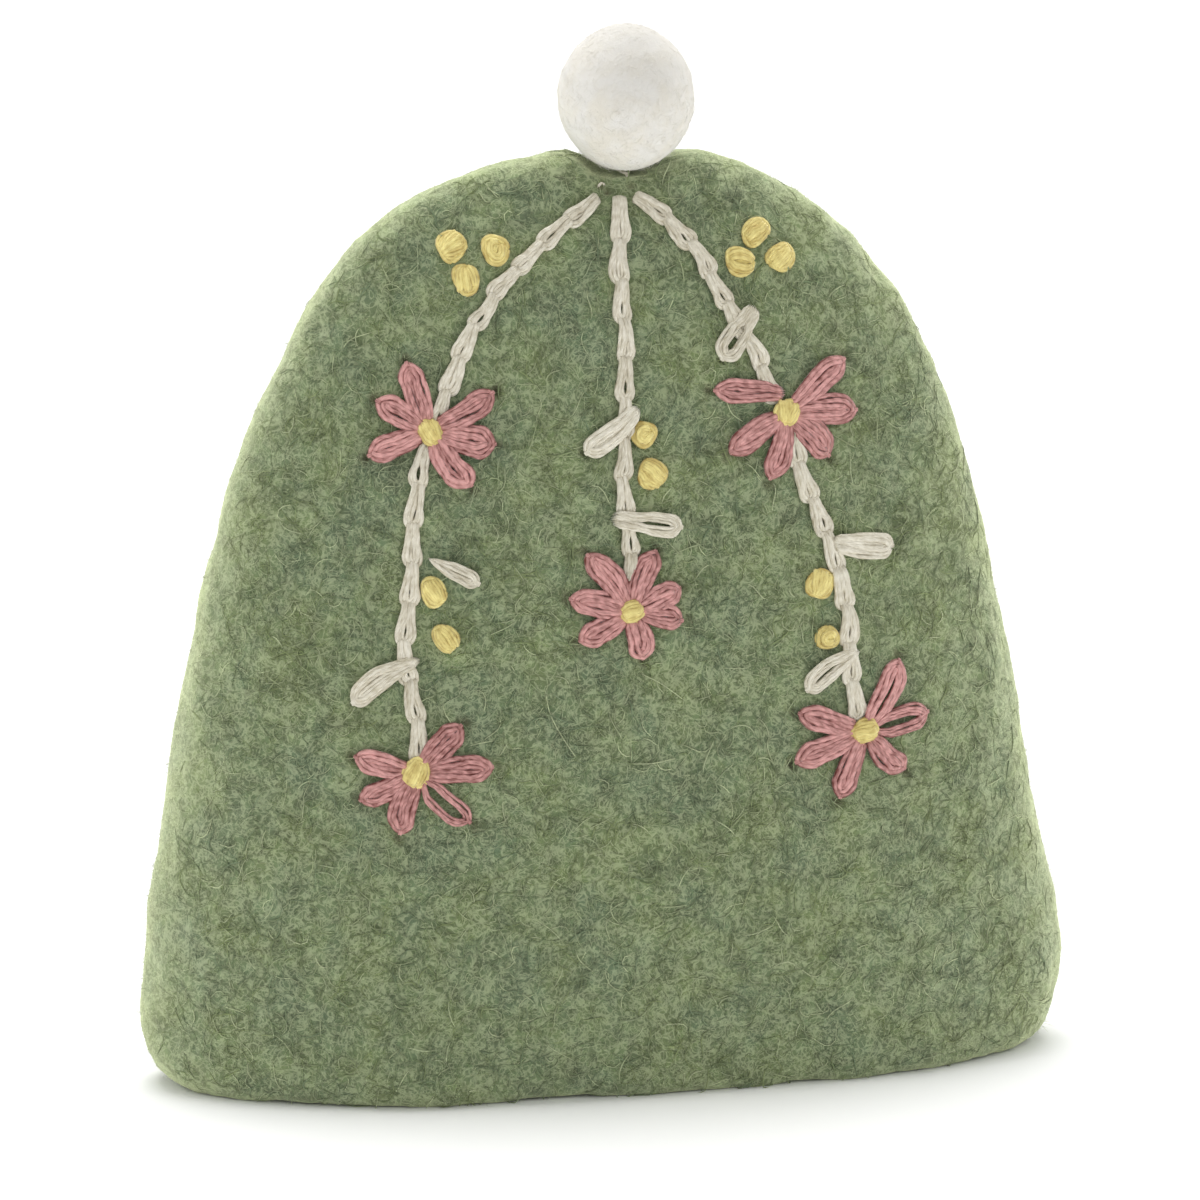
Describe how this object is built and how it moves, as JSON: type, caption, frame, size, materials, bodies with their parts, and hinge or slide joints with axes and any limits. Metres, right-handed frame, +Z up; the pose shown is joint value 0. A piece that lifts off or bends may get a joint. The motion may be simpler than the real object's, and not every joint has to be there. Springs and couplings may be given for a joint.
{
  "type": "egg cosy",
  "caption": "Dome-shaped wool felt cover that stands on its open hem and slips over a boiled egg, with a felt ball on its crown and an embroidered front.",
  "frame": {"origin": "on the table, under the middle of the cosy", "axes": "+Z up, +X along the wide way to the right as seen from the embroidered front, +Y from the front to the back"},
  "size_m": [0.1002, 0.0344, 0.1127],
  "materials": {
    "green_felt": "wet-felted wool, marled green, fuzzy",
    "white_felt": "needle-felted undyed wool",
    "cream_yarn": "stranded yarn, undyed",
    "pink_yarn": "stranded yarn, dusty pink",
    "yellow_yarn": "stranded yarn, soft yellow"
  },
  "bodies": {
    "root": {"felt_cover": "green_felt", "felt_ball": "white_felt"}
  },
  "joints": []
}
